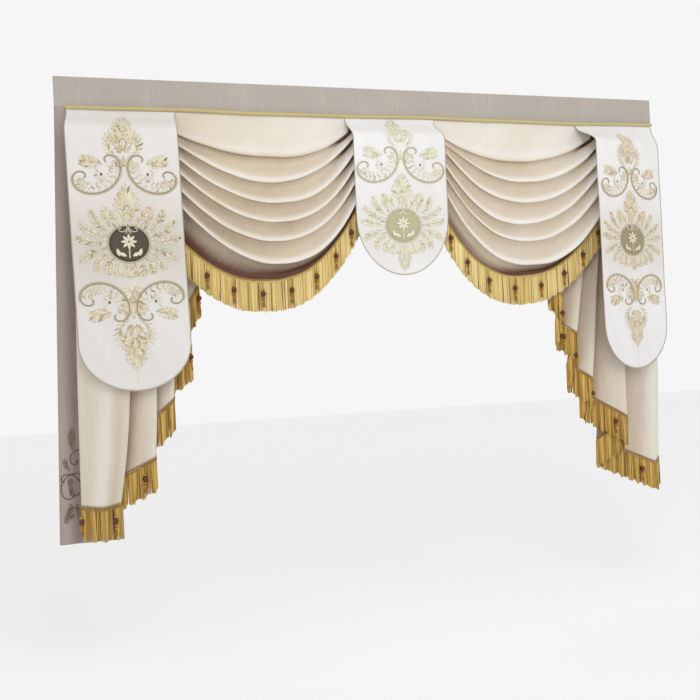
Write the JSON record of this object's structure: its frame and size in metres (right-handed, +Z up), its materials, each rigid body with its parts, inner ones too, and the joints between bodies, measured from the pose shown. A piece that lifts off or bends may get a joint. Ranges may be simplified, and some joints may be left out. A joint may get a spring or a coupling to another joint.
{
  "type": "swag and tail window valance with side drape",
  "caption": "Window valance of pleated swags and stepped tails under embroidered tabs, with a fringed hem, a braided heading and a side drape.",
  "frame": {"origin": "middle of the heading band's top edge, on its back face", "axes": "+X along the heading, -Y out of the face that shows, +Z up"},
  "size_m": [2.011, 0.127, 1.3662],
  "materials": {
    "band_cloth": "matt woven greige cloth",
    "swag_cloth": "cream velvet with a soft sheen",
    "tail_cloth": "pale cream satin weave",
    "tab_cloth": "white satin with gold and olive embroidery",
    "drape_cloth": "mauve-grey matt weave",
    "gold_yarn": "glossy gold rayon yarn"
  },
  "bodies": {
    "root": {"header_band": "band_cloth", "gimp_braid": "gold_yarn", "tab_left": "tab_cloth", "tab_centre": "tab_cloth", "tab_right": "tab_cloth", "swag_left": "swag_cloth", "swag_right": "swag_cloth", "tail_left": "tail_cloth", "tail_right": "tail_cloth", "fringe_swag_left": "gold_yarn", "fringe_swag_right": "gold_yarn", "fringe_tail_left": "gold_yarn", "fringe_tail_right": "gold_yarn", "side_drape": "drape_cloth"}
  },
  "joints": []
}
